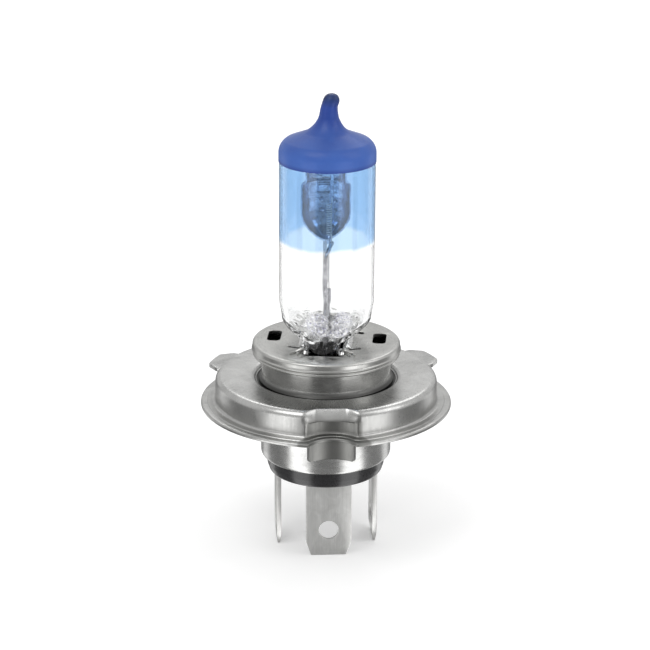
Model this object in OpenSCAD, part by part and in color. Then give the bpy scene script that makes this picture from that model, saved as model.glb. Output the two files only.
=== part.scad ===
// Twin-filament halogen headlight bulb on a 43 mm flanged cap.
// +Z runs along the bulb axis towards the tip; the key faces -Y.
// z = 0 is the upper face of the cap plate and of its two lugs, the reference plane.

/* [Glass envelope] */
// Outer diameter of the straight glass tube
tube_d = 16.1; // [15.9:0.1:16.3]
// Wall thickness of the glass tube
tube_wall = 1; // [0.8:0.1:1.2]
// Height at which the straight tube ends and the dome begins
dome_z = 39.2; // [38.9:0.1:39.5]
// Height at which the straight tube ends above the pinch
tube_foot_z = 9.7; // [9.5:0.1:10.5]
// Thickness of the flat pinch seal
pinch_t = 5.2; // [4.8:0.1:5.6]
// Lowest level of the pinch seal
pinch_foot_z = -4.6; // [-4.8:0.1:-4]
// Turn of the pinch and the retainer from the key, clockwise from above
seal_turn = 8; // [0:1:12]

/* [Coatings] */
// Lower edge of the opaque tip coating
tip_coat_z = 37.7; // [35:0.1:38.5]
// Lower edge of the transparent colour filter
filter_z = 23.8; // [20:0.1:30]
// Thickness of the tip coating
coat_t = 0.13; // [0.08:0.01:0.15]
// Thickness of the colour filter
film_t = 0.05; // [0.03:0.01:0.08]

/* [Filaments] */
// Outer diameter of a filament coil
coil_d = 1.15; // [0.9:0.05:1.3]
// Diameter of the tungsten wire
wire_d = 0.24; // [0.2:0.02:0.28]
// Turns in each filament
coil_turns = 12; // [8:1:14]
// Lower end of the dipped-beam filament
dip_coil_z = 25.1; // [24.8:0.1:25.4]
// Length of each filament
coil_l = 5.6; // [5:0.1:6]
// Lower end of the main-beam filament
main_coil_z = 16.3; // [16:0.1:16.8]

/* [Cap ring] */
// Outer diameter of the bottom flange
flange_d = 43; // [42:0.5:44]
// Outer diameter of the ring wall
ring_d = 38; // [37.6:0.2:38.2]
// Height of the ring, from the flange's underside to the reference plane
ring_h = 5.2; // [5:0.1:5.6]
// Thickness of the pressed sheet
sheet_t = 0.8; // [0.6:0.1:0.8]
// Radius of the two lugs
lug_r = 21; // [20:0.1:21.5]
// Width of a lug
lug_w = 7.6; // [6:0.2:9]
// Angle between the key and each lug
lug_angle = 114.3; // [110:0.1:120]
// Width of the key recess
key_w = 8.9; // [8:0.1:9.2]
// Level of the lower end of the key tongue
tongue_z = -8.7; // [-9:0.1:-6]

/* [Holder and retainer] */
// Outer diameter of the retainer disc at its rim
retainer_d = 25.5; // [25.3:0.1:25.6]
// Upper face of the retainer disc
retainer_z = 6.1; // [5.9:0.1:6.3]
// Height of the retainer disc's rim
rim_h = 2.3; // [1.6:0.1:2.4]
// Outer diameter of the holder cup
holder_d = 22.1; // [21.8:0.1:22.2]

/* [Connector end] */
// Outer diameter of the lower shell
shell_d = 22.4; // [22.2:0.1:22.6]
// Level of the lower shell's bottom
shell_z = -14.4; // [-15:0.1:-14]
// Diameter of the insulator below the shell
insulator_d = 20; // [19.8:0.1:20.2]
// Level of the insulator's underside
insulator_z = -17.3; // [-18:0.1:-17]
// Width of a terminal blade
blade_w = 7.8; // [7.4:0.1:8]
// Thickness of a terminal blade
blade_t = 0.8; // [0.7:0.05:0.8]
// Distance from the bulb axis to the middle of each blade
blade_offset = 8.3; // [8.2:0.1:8.4]
// Level of the blade ends
blade_z = -30.2; // [-32:0.1:-29]
// Diameter of the detent hole in each blade
blade_hole_d = 3.4; // [3:0.1:3.6]

/* [Hidden] */
$fn = 96;
EPS = 0.01;
FAR = 100;

tube_r = tube_d / 2;
cavity_r = tube_r - tube_wall;
flange_r = flange_d / 2;
ring_r = ring_d / 2;
retainer_r = retainer_d / 2;
holder_r = holder_d / 2;
shell_r = shell_d / 2;
insulator_r = insulator_d / 2;
thin_t = 0.6;                          // sheet of the holder, retainer and shell

// Dome: a round shoulder, then a hollow sweep up into the exhaust tip
shoulder_r = 2.39;
shoulder_a = 60;
sweep_r = 5;
sweep_end_a = 190;
sweep_c = [tube_r - 1.75, dome_z + 7.6];
stem_top_z = sweep_c[1] + sweep_r * sin(sweep_end_a);
stem_sink = 0.93;
stem_gap = 0.08;
tip_lean = 0.62;
tip_rise = 2.95;
tip_bead_r = 1.3;
outline_top_z = stem_top_z + 10;

// Pinch shoulders, where the round tube is pressed flat
heel_in = 0.4;
heel_r = 1;
heel_a = 64;
heel_c = [tube_r - heel_in - heel_r, tube_foot_z];
neck_fillet_r = 1;
neck_slope = 90 - heel_a;
neck_h = 4;
cavity_floor_z = 7.9;
cavity_neck_r = 1.2;
cavity_top_z = dome_z + 4.7;

// Wires sealed in the pinch: common at the back, main in the middle, dip in front
lead_r = 0.4;
outer_lead_r = 0.35;
lead_pitch = 4.4;
lead_foot_z = 3.4;                     // inner leads end here, on their foils
lead_bend_z = 10.5;
foil_w = 2.4;
foil_l = 5.2;
foil_t = 0.1;
foil_x = 0.2;                          // face of the foils that the leads are welded to
foil_top_z = 4.4;
foil_lap = 1;

// Filament and shield places
dip_x = 0.3;
dip_y = -0.9;
main_y = 1;
coil_mid_r = (coil_d - wire_d) / 2;
coil_tail = 1.2;
shield_r = 4.4;
shield_t = 0.3;
shield_z = 28;
shield_top_z = 33.3;
hood_r = 3.5;
hood_top_z = 36.4;
common_y = shield_r + lead_r;

// Holder, retainer and shell
slot_half_x = 3.8;
slot_half_y = 8.3;
vent_at = [9, 1.5];
vent_size = [2.3, 5.2];
vent_corner_r = 0.6;
slit_size = [2.6, 0.4];
slit_y = 4.2;
slit_turn = 17;
rim_step = 0.12;
rim_mid_z = 4.5;                       // the rim bulges here, above its hem
rim_corner_r = 0.45;
holder_flange_r = retainer_r - thin_t;
holder_bend_r = 0.5;
clip_t = 0.4;
clip_w = 6.4;
clip_foot_z = -3.6;
clip_bend_z = 2.6;
clip_window = [1.6, 3.4];
clip_window_z = -1.4;
shell_flange_r = 17;
shell_corner_r = 0.85;
shell_bend_r = 0.5;
plug_edge_r = 0.8;
plug_draft = 0.45;
plug_band_up = 1.3;
plug_hollow_r = 4;
plug_floor_t = 2.2;

// Terminals: blade, upright web through the insulator, then an inward tab
web_w = 5;
tab_top_z = -8.6;
tab_w = 3;
tab_reach = 3.6;
weld_x = blade_offset - tab_reach + 0.6; // outer leads end on the tabs, this far from the axis
blade_chamfer = [0.9, 2.6];
blade_hole_up = 4.7;
blade_bevel = [2.4, 0.25, 15];         // height, standoff and slope of the bevels at the blade's end
web_foot_up = 1.6;
insulator_top_z = -9.4;
plug_foot_z = shell_z + thin_t;

// Key recess: a round hollow in the wall, with a narrower scallop in the flange below it
key_depth_y = -16.8;
key_round_r = 6.16;
key_brim = 1.85;
key_cy = key_depth_y - key_round_r;
tongue_w = 8.4;
key_straight_y = -18.5;
key_lip_y = -17.6;
key_lip_h = 1.9;

// Points along an arc about c, from angle a0 to a1
function arc(c, r, a0, a1, n = 8) =
    [for (i = [0:n]) let (a = a0 + (a1 - a0) * i / n) [c[0] + r * cos(a), c[1] + r * sin(a)]];

// The same path with every inner corner cut, which rounds a bend
function rounded(p) = concat([p[0]],
    [for (i = [0:len(p) - 2], k = [0, 1])
        if (!(i == 0 && k == 0) && !(i == len(p) - 2 && k == 1))
            p[i] + (k == 0 ? 0.25 : 0.75) * (p[i + 1] - p[i])],
    [p[len(p) - 1]]);

// Tube swept along a path that starts and ends along Z. Each ring is square to the path
// and is turned so that its first corner points towards out
module sweep(path, r, out, sides) {
    n = len(path);
    rings = [for (i = [0:n - 1]) let (
        d = path[min(i + 1, n - 1)] - path[max(i - 1, 0)],
        t = (i == 0 || i == n - 1) ? [0, 0, 1] : d / norm(d),
        o = out == undef ? [path[i][0], path[i][1], 0] : out,
        u0 = o - (o * t) * t,
        u = u0 / norm(u0),
        v = cross(t, u))
        for (k = [0:sides - 1]) path[i] + r * (cos(360 * k / sides) * u + sin(360 * k / sides) * v)];
    walls = [for (i = [0:n - 2], k = [0:sides - 1]) let (
        a = i * sides + k,
        b = i * sides + (k + 1) % sides)
        for (f = [[a, a + sides, b], [b, a + sides, b + sides]]) f];
    ends = [[for (k = [0:sides - 1]) k], [for (k = [sides - 1:-1:0]) (n - 1) * sides + k]];
    polyhedron(points = rings, faces = concat(walls, ends));
}

// A round wire that follows a list of points, from the bottom up, with rounded bends
module wire_path(pts, r) {
    sweep(rounded(rounded(pts)), r, [1, 0, 0], 12);
}

// A point on the middle plane of the pinch, y in front of or behind the axis
function sealed(y, z) = [y * sin(seal_turn), y * cos(seal_turn), z];

// ---------- glass ----------

// Outline of the dome and tip at a distance g outside the bare glass
function dome_outline(g) = concat(
    arc([tube_r - shoulder_r, dome_z], shoulder_r + g, 0, shoulder_a),
    arc(sweep_c, sweep_r - g, 180 + shoulder_a, sweep_end_a));

// Body of revolution of the closed tube, from z0 up to the tip
module tube_solid(g, z0) {
    rotate_extrude() polygon(concat([[0, z0], [tube_r + g, z0]], dome_outline(g), [[0, stem_top_z]]));
    // the drawn-off tip leans towards +X and ends in a bead
    translate([0, 0, stem_top_z - stem_sink]) rotate([0, atan2(tip_lean, tip_rise), 0])
        cylinder(r = tip_bead_r + g - stem_gap, h = norm([tip_lean, tip_rise]));
    translate([tip_lean, 0, stem_top_z - stem_sink + tip_rise]) sphere(r = tip_bead_r + g, $fn = 48);
}

// Half outline of the pressed foot, seen along Y, at a distance g outside
function foot_outline(g, z0) = concat(
    [[tube_r + g + 1, outline_top_z], [tube_r + g + 1, tube_foot_z + neck_h],
     [tube_r + g - heel_in, tube_foot_z]],
    arc(heel_c, heel_r + g, 0, -heel_a),
    arc([pinch_t / 2 + g + neck_fillet_r, pinch_knee_z(g)], neck_fillet_r, 90 + neck_slope, 180, 5),
    [[pinch_t / 2 + g, z0]]);

// Height of the centre of the fillet where the slope meets the flat pinch
function pinch_knee_z(g) = let (
    p = [heel_c[0] + (heel_r + g) * cos(heel_a), heel_c[1] - (heel_r + g) * sin(heel_a)],
    q = [pinch_t / 2 + g + neck_fillet_r * (1 - sin(neck_slope)), 0])
    p[1] - (p[0] - q[0]) * tan(neck_slope) - neck_fillet_r * cos(neck_slope);

// Wedge that presses the tube flat across X and leaves it wide along Y
module foot_wedge(g, z0) {
    half = foot_outline(g, z0);
    rotate([90, 0, -seal_turn]) linear_extrude(height = FAR, center = true)
        polygon(concat(half, [for (i = [len(half) - 1:-1:0]) [-half[i][0], half[i][1]]]));
}

module sealed_wires() {
    inner_lead_common();
    inner_lead_dip();
    inner_lead_main();
    foil_common();
    foil_dip();
    foil_main();
    outer_lead_common();
    outer_lead_dip();
    outer_lead_main();
}

module glass_envelope() {
    color("aliceblue") difference() {
        intersection() {
            tube_solid(0, pinch_foot_z);
            foot_wedge(0, pinch_foot_z);
            translate([0, 0, dome_z / 2]) cube([FAR, 2 * tube_r + 1, FAR], center = true);
        }
        intersection() {
            cavity();
            foot_wedge(-tube_wall, cavity_floor_z);
        }
        sealed_wires();
    }
}

module cavity() {
    roof = [for (p = dome_outline(-tube_wall)) if (p[0] > cavity_neck_r) p];
    rotate_extrude() polygon(concat([[0, cavity_floor_z], [cavity_r, cavity_floor_z]], roof,
                                    [[0, cavity_top_z]]));
}

module tip_coating() {
    color("royalblue") difference() {
        tube_solid(coat_t, tip_coat_z);
        tube_solid(0, tip_coat_z - 1);
    }
}

module filter_coating() {
    color("lightblue") translate([0, 0, filter_z]) difference() {
        cylinder(r = tube_r + film_t, h = tip_coat_z - filter_z);
        translate([0, 0, -1]) cylinder(r = tube_r, h = tip_coat_z - filter_z + 2);
    }
}

// ---------- filaments and shield ----------

// Centre line of a coil: a straight tail, the turns, and a second tail on the other side
function coil_path(z0, seg = 12) = concat(
    [[coil_mid_r, 0, z0 - coil_tail]],
    [for (i = [0:coil_turns * seg]) let (a = 360 * i / seg)
        [coil_mid_r * cos(a), coil_mid_r * sin(a), z0 + coil_l * i / (coil_turns * seg)]],
    [[coil_mid_r, 0, z0 + coil_l + coil_tail]]);

module dip_filament() {
    color("gray") translate([dip_x, dip_y, 0]) sweep(coil_path(dip_coil_z), wire_d / 2, undef, 6);
}

module main_filament() {
    color("gray") translate([0, main_y, 0]) sweep(coil_path(main_coil_z), wire_d / 2, undef, 6);
}

// Section of the shield: a round nose, the cup, a step in to the narrower hood, and its roof
function shield_section() = concat(
    arc([0, shield_z], shield_r, -90, 0, 10),
    [[shield_r, shield_top_z], [hood_r, shield_top_z], [hood_r, hood_top_z], [0, hood_top_z],
     [0, hood_top_z - shield_t], [hood_r - shield_t, hood_top_z - shield_t],
     [hood_r - shield_t, shield_top_z - shield_t], [shield_r - shield_t, shield_top_z - shield_t]],
    arc([0, shield_z], shield_r - shield_t, 0, -90, 10));

// Half cup open towards -Y, with the two wires that are part of it
module dip_shield() {
    roof_z = hood_top_z - shield_t;
    hanger_foot = dip_coil_z + coil_l + coil_tail;
    arm_foot = main_coil_z + coil_l + coil_tail;
    color("lightsteelblue") {
        rotate_extrude(angle = 180) polygon(shield_section());
        // tab of the roof and the hanger for the upper end of the dip filament
        translate([dip_x + coil_mid_r - 0.6, dip_y - 0.6, roof_z]) cube([1.2, 1.6, shield_t]);
        translate([dip_x + coil_mid_r, dip_y, hanger_foot])
            cylinder(r = lead_r, h = roof_z - hanger_foot + shield_t / 2, $fn = 24);
        // arm from the nose down to the main filament
        translate([coil_mid_r, main_y, arm_foot])
            cylinder(r = lead_r, h = shield_z - shield_r + 1 - arm_foot, $fn = 24);
    }
}

// Inner leads rise from the pinch, where a flat on each one meets its foil
module inner_lead(y, pts) {
    color("silver") difference() {
        wire_path(concat([sealed(y, lead_foot_z), sealed(y, lead_bend_z)], pts), lead_r);
        weld_flat(y, lead_foot_z - 1, foil_top_z);
    }
}

// Room for the foil beside the end of a wire at y, from z0 to z1
module weld_flat(y, z0, z1) {
    rotate([0, 0, -seal_turn]) translate([foil_x, y - 1, z0]) cube([1, 2, z1 - z0]);
}

module inner_lead_common() {
    inner_lead(lead_pitch, [[0, common_y, 13], [0, common_y, shield_top_z - 1]]);
}

module inner_lead_dip() {
    inner_lead(-lead_pitch, [[-0.4, -2.6, 14], [-0.4, -2.6, 21.5], [dip_x + coil_mid_r, dip_y, 23],
                             [dip_x + coil_mid_r, dip_y, dip_coil_z - coil_tail]]);
}

module inner_lead_main() {
    inner_lead(0, [[coil_mid_r, main_y, 13.4], [coil_mid_r, main_y, main_coil_z - coil_tail]]);
}

// A foil spans the gap between an inner lead and an outer lead inside the pinch
module foil(y) {
    color("lightgray") rotate([0, 0, -seal_turn])
        translate([foil_x, y - foil_w / 2, foil_top_z - foil_l]) cube([foil_t, foil_w, foil_l]);
}

module foil_common() {
    foil(lead_pitch);
}

module foil_dip() {
    foil(-lead_pitch);
}

module foil_main() {
    foil(0);
}

// Outer leads run from the foils down to the inward tabs of the terminals
module outer_lead(y, foot) {
    foil_foot_z = foil_top_z - foil_l;
    color("gray") difference() {
        wire_path([[foot[0], foot[1], tab_top_z], [foot[0], foot[1], tab_top_z + 1.2],
                   sealed(y, pinch_foot_z - 1), sealed(y, foil_foot_z + foil_lap)], outer_lead_r);
        weld_flat(y, foil_foot_z, foil_foot_z + 2 * foil_lap);
    }
}

module outer_lead_common() {
    outer_lead(lead_pitch, [weld_x, 0.6]);
}

module outer_lead_dip() {
    outer_lead(-lead_pitch, [0, -weld_x]);
}

module outer_lead_main() {
    outer_lead(0, [-weld_x, 0]);
}

// ---------- holder and retainer ----------

module retainer_disc() {
    top = retainer_z;
    foot = retainer_z - rim_h;
    hem_r = retainer_r - rim_step;
    color("silver") rotate([0, 0, -seal_turn]) difference() {
        rotate_extrude() polygon(concat(
            [[0, top - thin_t], [holder_flange_r, top - thin_t], [holder_flange_r, foot], [hem_r, foot]],
            [[hem_r, rim_mid_z - rim_step], [retainer_r, rim_mid_z], [retainer_r, rim_mid_z + 0.35]],
            [[hem_r, rim_mid_z + 0.5], [hem_r, top - rim_corner_r]],
            arc([hem_r - rim_corner_r, top - rim_corner_r], rim_corner_r, 0, 90, 5),
            [[0, top]]));
        retainer_slot();
        for (s = [-1, 1]) translate([s * vent_at[0], vent_at[1], top]) vent();
        for (sx = [-1, 1]) for (sy = [-1, 1])
            translate([sx * (slot_half_x + 0.9), sy * slit_y, top]) rotate([0, 0, -sx * sy * slit_turn])
                cube([slit_size[0], slit_size[1], 3], center = true);
    }
}

// Opening for the pinch: a wide middle for the clips, with round ends
module retainer_slot() {
    translate([0, 0, retainer_z - 2]) linear_extrude(height = 4)
        rounded_square([2 * slot_half_x, 2 * slot_half_y], 1);
}

// Vent hole with round corners
module vent() {
    translate([0, 0, -2]) linear_extrude(height = 4) rounded_square(vent_size, vent_corner_r);
}

module rounded_square(size, r) {
    square([size[0], size[1] - 2 * r], center = true);
    square([size[0] - 2 * r, size[1]], center = true);
    for (sx = [-1, 1]) for (sy = [-1, 1])
        translate([sx * (size[0] / 2 - r), sy * (size[1] / 2 - r)]) circle(r = r, $fn = 24);
}

// Spring clip: a strip along the flat of the pinch, hooked out under the disc
module pinch_clip() {
    x0 = pinch_t / 2;
    top = retainer_z - thin_t;
    hook_x = slot_half_x + 2.4;
    color("gainsboro") difference() {
        translate([0, clip_w / 2, 0]) rotate([90, 0, 0]) linear_extrude(height = clip_w)
            polygon([[x0, clip_foot_z], [x0 + clip_t, clip_foot_z], [x0 + clip_t, clip_bend_z],
                     [slot_half_x + clip_t, top - 1], [hook_x, top - clip_t], [hook_x, top],
                     [slot_half_x, top], [slot_half_x, top - 0.6], [x0, clip_bend_z + 0.2]]);
        translate([0, 0, clip_window_z]) cube([FAR, clip_window[0], clip_window[1]], center = true);
    }
}

module pinch_clip_left() {
    rotate([0, 0, 180 - seal_turn]) pinch_clip();
}

module pinch_clip_right() {
    rotate([0, 0, -seal_turn]) pinch_clip();
}

// Cup under the retainer: a flanged tube that stands on the lower shell
module holder_cup() {
    top = retainer_z - thin_t;
    bend_z = top - thin_t - holder_bend_r;
    color("silver") rotate_extrude() polygon(concat(
        [[holder_r - thin_t, -sheet_t], [holder_r, -sheet_t]],
        arc([holder_r + holder_bend_r, bend_z], holder_bend_r, 180, 90, 5),
        [[holder_flange_r, top - thin_t], [holder_flange_r, top]],
        arc([holder_r + holder_bend_r, bend_z], holder_bend_r + thin_t, 90, 180, 5)));
}

// ---------- cap ring ----------

// Section of the pressed ring: inner edge, plate, wall and bottom flange
function ring_section() = concat(
    [[12.05, -sheet_t]],
    arc([12.95, -0.9], 0.9, 173, 90, 5),
    arc([ring_r - 1, -1], 1, 90, 0, 6),
    arc([ring_r + 0.4, -ring_h + sheet_t + 0.4], 0.4, 180, 270, 4),
    [[flange_r - 1.1, -ring_h + sheet_t], [flange_r - 1.2, -ring_h + sheet_t - 0.1]],
    arc([flange_r - 0.3, -ring_h + sheet_t - 0.4], 0.3, 90, 0, 3),
    [[flange_r, -ring_h], [ring_r - sheet_t, -ring_h], [ring_r - sheet_t, -sheet_t]]);

// Lug outline: two straight sides, round corners and an arc at the tip
module lug() {
    r = 1;
    a = asin((lug_w / 2 - r) / (lug_r - r));
    c = [(lug_r - r) * cos(a), lug_w / 2 - r];
    tip = arc([0, 0], lug_r, -a, a, 6);
    left = arc(c, r, a, 90, 5);
    right = [for (i = [len(left) - 1:-1:0]) [left[i][0], -left[i][1]]];
    translate([0, 0, -sheet_t]) linear_extrude(height = sheet_t)
        polygon(concat([[ring_r - 2, -lug_w / 2]], right, tip, left, [[ring_r - 2, lug_w / 2]]));
}

// Plan of the key recess: round at the back, straight-sided towards -Y
module key_plan(grow, w) {
    intersection() {
        union() {
            translate([0, key_cy]) circle(r = key_round_r + grow);
            translate([-w / 2, -FAR]) square([w, FAR + key_straight_y]);
        }
        translate([-w / 2, -FAR]) square([w, FAR]);
    }
}

module base_ring() {
    color("silver") difference() {
        union() {
            rotate_extrude() polygon(ring_section());
            for (s = [-1, 1]) rotate([0, 0, -90 + s * lug_angle]) lug();
            // sheet behind the recess
            intersection() {
                translate([0, 0, -ring_h]) linear_extrude(height = ring_h - sheet_t + EPS)
                    key_plan(sheet_t, key_w + 2 * sheet_t);
                cylinder(r = flange_r, h = 2 * FAR, center = true);
                translate([0, 0, -FAR / 2]) cylinder(r = ring_r, h = FAR);
            }
        }
        translate([0, 0, sheet_t - ring_h]) linear_extrude(height = ring_h - sheet_t - key_lip_h)
            key_plan(0, key_w);
        translate([0, key_cy, -ring_h - EPS]) cylinder(r = key_round_r - key_brim, h = sheet_t + 2 * EPS);
        translate([-key_w / 2, -FAR + key_lip_y, -key_lip_h - EPS]) cube([key_w, FAR, 5]);
    }
}

// Curved tongue that hangs from the recess, welded behind its wall
module key_tongue() {
    color("silver") translate([0, 0, tongue_z]) linear_extrude(height = -ring_h - tongue_z)
        intersection() {
            difference() {
                translate([0, key_cy]) circle(r = key_round_r + sheet_t);
                translate([0, key_cy]) circle(r = key_round_r);
            }
            translate([-tongue_w / 2, key_cy + 1]) square([tongue_w, FAR]);
        }
}

// ---------- connector end ----------

// Cup that joins the ring plate to the insulator
module lower_shell() {
    c = [shell_r - shell_corner_r, shell_z + shell_corner_r];
    color("silver") rotate_extrude() polygon(concat(
        [[shell_r - thin_t, -sheet_t], [shell_flange_r, -sheet_t], [shell_flange_r, -sheet_t - thin_t]],
        arc([shell_r + shell_bend_r, -sheet_t - thin_t - shell_bend_r], shell_bend_r, 90, 180, 5),
        arc(c, shell_corner_r, 0, -90, 6),
        [[insulator_r, shell_z], [insulator_r, plug_foot_z], [shell_r - thin_t, plug_foot_z]]));
}

module blades() {
    terminal_dip();
    terminal_main();
    terminal_earth();
}

module insulator() {
    color("black") difference() {
        rotate_extrude() polygon(concat(
            [[0, insulator_z]],
            arc([insulator_r - plug_draft - plug_edge_r, insulator_z + plug_edge_r], plug_edge_r, -90, 0, 5),
            [[insulator_r, insulator_z + plug_band_up], [insulator_r, plug_foot_z]],
            [[shell_r - thin_t, plug_foot_z], [shell_r - thin_t, insulator_top_z], [0, insulator_top_z]]));
        blades();
        // hollow between the blades, open upwards
        translate([0, 0, insulator_z + plug_floor_t]) cylinder(r = plug_hollow_r, h = FAR);
    }
}

// Terminal that stands at -Y: blade with chamfered end and detent hole, web and tab
module terminal() {
    half_w = blade_w / 2;
    web_foot_z = insulator_z + web_foot_up;
    tab_z = tab_top_z - blade_t;
    color("darkgray") translate([0, -blade_offset, 0]) {
        difference() {
            rotate([90, 0, 0]) linear_extrude(height = blade_t, center = true)
                polygon([[-half_w + blade_chamfer[0], blade_z], [half_w - blade_chamfer[0], blade_z],
                         [half_w, blade_z + blade_chamfer[1]], [half_w, web_foot_z],
                         [web_w / 2, web_foot_z], [web_w / 2, tab_z],
                         [-web_w / 2, tab_z], [-web_w / 2, web_foot_z],
                         [-half_w, web_foot_z], [-half_w, blade_z + blade_chamfer[1]]]);
            translate([0, 0, blade_z + blade_hole_up]) rotate([90, 0, 0])
                cylinder(r = blade_hole_d / 2, h = 4 * blade_t, center = true);
            for (s = [-1, 1]) end_bevel(s);
        }
        translate([-tab_w / 2, -blade_t / 2, tab_z]) cube([tab_w, tab_reach, blade_t]);
    }
}

// Block that takes the bevel off one face of the blade's end
module end_bevel(s) {
    translate([0, s * (blade_t / 2 + blade_bevel[1]), blade_z]) rotate([s * blade_bevel[2], 0, 0])
        cube([FAR, 0.6, blade_bevel[0]], center = true);
}

module terminal_dip() {
    terminal();
}

module terminal_main() {
    rotate([0, 0, -90]) terminal();
}

module terminal_earth() {
    rotate([0, 0, 90]) terminal();
}

glass_envelope();
tip_coating();
filter_coating();
dip_filament();
main_filament();
dip_shield();
inner_lead_common();
inner_lead_dip();
inner_lead_main();
foil_common();
foil_dip();
foil_main();
outer_lead_common();
outer_lead_dip();
outer_lead_main();
retainer_disc();
pinch_clip_left();
pinch_clip_right();
holder_cup();
base_ring();
key_tongue();
lower_shell();
insulator();
terminal_dip();
terminal_main();
terminal_earth();
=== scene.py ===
"""Looks of a twin-filament halogen headlight bulb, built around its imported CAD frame.

Lengths in the code are millimetres in the part's own frame and become metres in make_piece.
z = 0 is the upper face of the cap plate, +Z runs to the glass tip, and the key faces -Y.
"""

import math

import bmesh
import bpy
from mathutils import Matrix, Vector, noise


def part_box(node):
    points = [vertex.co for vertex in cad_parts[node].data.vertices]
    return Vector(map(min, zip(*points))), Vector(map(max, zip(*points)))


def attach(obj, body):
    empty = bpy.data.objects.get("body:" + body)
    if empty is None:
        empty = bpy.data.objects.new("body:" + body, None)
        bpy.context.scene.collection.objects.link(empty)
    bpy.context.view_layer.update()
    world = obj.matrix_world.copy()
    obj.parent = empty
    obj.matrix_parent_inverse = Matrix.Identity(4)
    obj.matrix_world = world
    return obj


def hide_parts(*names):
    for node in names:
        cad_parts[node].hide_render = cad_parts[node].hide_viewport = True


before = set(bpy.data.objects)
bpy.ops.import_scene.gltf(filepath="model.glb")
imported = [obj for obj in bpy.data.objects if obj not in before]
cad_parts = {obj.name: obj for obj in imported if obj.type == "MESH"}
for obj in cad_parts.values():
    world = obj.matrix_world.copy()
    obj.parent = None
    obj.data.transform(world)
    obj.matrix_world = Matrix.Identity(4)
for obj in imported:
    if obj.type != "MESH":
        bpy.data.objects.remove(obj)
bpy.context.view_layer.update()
MM = 0.001
TAU = 2 * math.pi

# -------------------- sizes, in millimetres


def cad_box(node):
    """Lowest and highest corners of a CAD node, in millimetres."""
    low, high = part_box(node)
    return low / MM, high / MM


GLASS_LOW, GLASS_HIGH = cad_box("glass_envelope")
COAT_LOW, COAT_HIGH = cad_box("tip_coating")
FILM_LOW, FILM_HIGH = cad_box("filter_coating")
RING_LOW, RING_HIGH = cad_box("base_ring")
DISC_LOW, DISC_HIGH = cad_box("retainer_disc")
CUP_LOW, CUP_HIGH = cad_box("holder_cup")
SHELL_LOW, SHELL_HIGH = cad_box("lower_shell")
PLUG_LOW, PLUG_HIGH = cad_box("insulator")
BLADE_LOW, BLADE_HIGH = cad_box("terminal_dip")
TONGUE_LOW, TONGUE_HIGH = cad_box("key_tongue")

# Glass: the tube, its shoulder and sweep over the dome, and the pressed seal
TUBE_R = GLASS_HIGH.y
WALL = 1.0
COAT_R = COAT_HIGH.y
SKIN_GAP = 0.004  # between the glass and its coatings
DOME_Z = 39.2
SHOULDER_R = 2.39
SHOULDER_A = 60
SWEEP_R = 5.0
SWEEP_C = (TUBE_R - 1.75, DOME_Z + 7.6)
HEEL_Z = 10.4  # the tube draws in just above
FINE_TOP = 14  # below, rings are close for the pressed glass
SEAL_TURN = math.radians(8)
PINCH_X = 2.6
PINCH_Y = 7.7
PRESS_BROAD = 0.42  # depth of the jaws' dents
PRESS_FINE = 0.2  # depth of the waves on them
GLASS_SIDES = 176

# Cap ring: the wall, the flange and the key's hollow, a round scoop centred in front of the ring
RING_R = 19.0
FLANGE_R = RING_HIGH.x
SHEET = 0.8
KEY_TURN = math.radians(1.0)
KEY_ROUND = 6.16
KEY_DEPTH = 16.8  # from the axis to the hollow's wall
KEY_BRIM = 1.85  # the flange's notch is this much smaller than the hollow
KEY_C = KEY_DEPTH + KEY_ROUND
LIP_TOP, LIP_FOOT, LIP_Z = 16.9, 17.9, -1.9  # the lip over the hollow leans from top to foot
FACE_R, BEND_R = 17.7, 14.6  # the plate ends, and starts to follow the key
LUG_ANGLE = 114.3  # from the key to each lug, in degrees

# Retainer, neck, shell, insulator and blades
THIN = 0.6
DISC_R = DISC_HIGH.x
NECK_R = 11.05
LOWER_R = 11.2
PLUG_R = 10.1
BLADE_W = BLADE_HIGH.x - BLADE_LOW.x
BLADE_T = 0.8
BLADE_OFF = 8.3
FLOOR_Z = BLADE_LOW.z

BOTH = (-1, 1)
CORNERS = [(sx, sy) for sx in BOTH for sy in BOTH]

# -------------------- small maths


def lerp(a, b, t):
    return a + (b - a) * t


def smooth(edge0, edge1, x):
    """Smooth step from 0 at edge0 to 1 at edge1."""
    t = min(1.0, max(0.0, (x - edge0) / (edge1 - edge0)))
    return t * t * (3 - 2 * t)


def soft_min(a, b, k):
    """The smaller of two lengths, rounded where they are within k of each other."""
    h = max(k - abs(a - b), 0.0) / k
    return min(a, b) - h * h * k / 4


def arc(c, r, a0, a1, n=8):
    """Points along an arc, angles in degrees."""
    steps = [math.radians(lerp(a0, a1, i / n)) for i in range(n + 1)]
    return [(c[0] + r * math.cos(a), c[1] + r * math.sin(a)) for a in steps]


def line(a, b, n):
    """Points from a to b, without b."""
    return [tuple(lerp(p, q, i / n) for p, q in zip(a, b)) for i in range(n)]


def spline(points, n):
    """Catmull-Rom curve through given points, n steps between two of them."""
    out = []
    ext = [points[0]] + list(points) + [points[-1]]
    for k in range(1, len(ext) - 2):
        p0, p1, p2, p3 = (Vector(p) for p in ext[k - 1:k + 3])
        for i in range(n):
            t = i / n
            out.append(0.5 * (2 * p1 + (p2 - p0) * t + (2 * p0 - 5 * p1 + 4 * p2 - p3) * t * t
                              + (3 * p1 - 3 * p2 + p3 - p0) * t ** 3))
    out.append(Vector(points[-1]))
    return out


# -------------------- mesh building


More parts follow.
